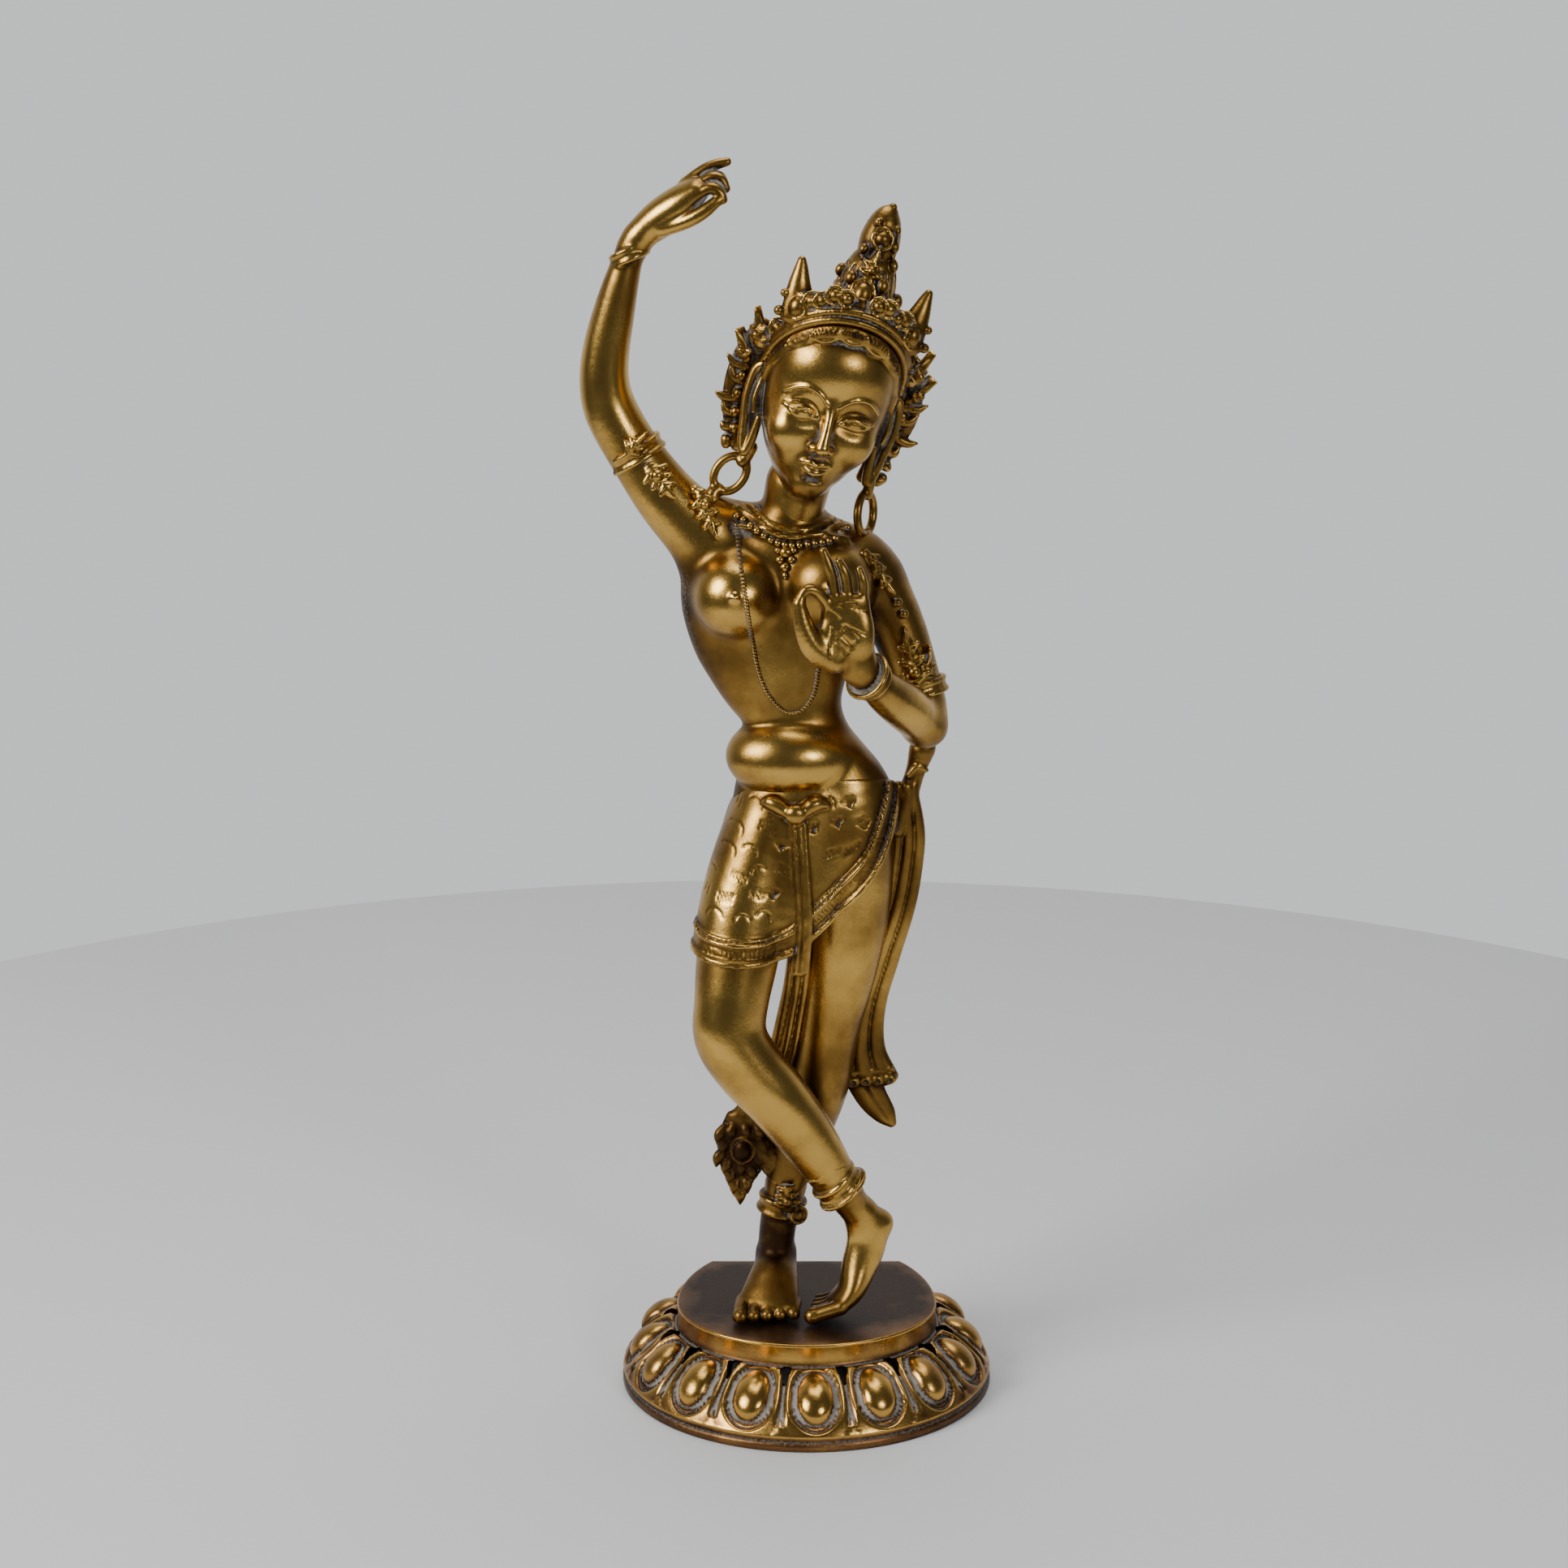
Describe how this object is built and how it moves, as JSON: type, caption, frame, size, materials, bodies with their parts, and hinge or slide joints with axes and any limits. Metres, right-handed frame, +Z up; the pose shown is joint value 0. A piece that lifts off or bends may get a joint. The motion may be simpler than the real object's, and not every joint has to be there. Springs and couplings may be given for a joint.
{
  "type": "dancer sculpture",
  "caption": "Cast brass dancing figure with one arm raised over a leaf crown, legs crossed, standing on an open-bottomed lotus petal base.",
  "frame": {"origin": "centre of the bounding box in plan, on the plane the base stands on", "axes": "+Z up, the figure faces -Y, +X is to the right of a viewer who faces it"},
  "size_m": [0.183, 0.16, 0.5572],
  "materials": {
    "figure_brass": "polished high spots over dark brown patina, whitish residue in the recesses",
    "base_brass": "brown patina, worn bright on the petals and the front band, whitish residue in the grooves"
  },
  "bodies": {
    "root": {"dancer": "figure_brass", "lotus_base": "base_brass"}
  },
  "joints": []
}
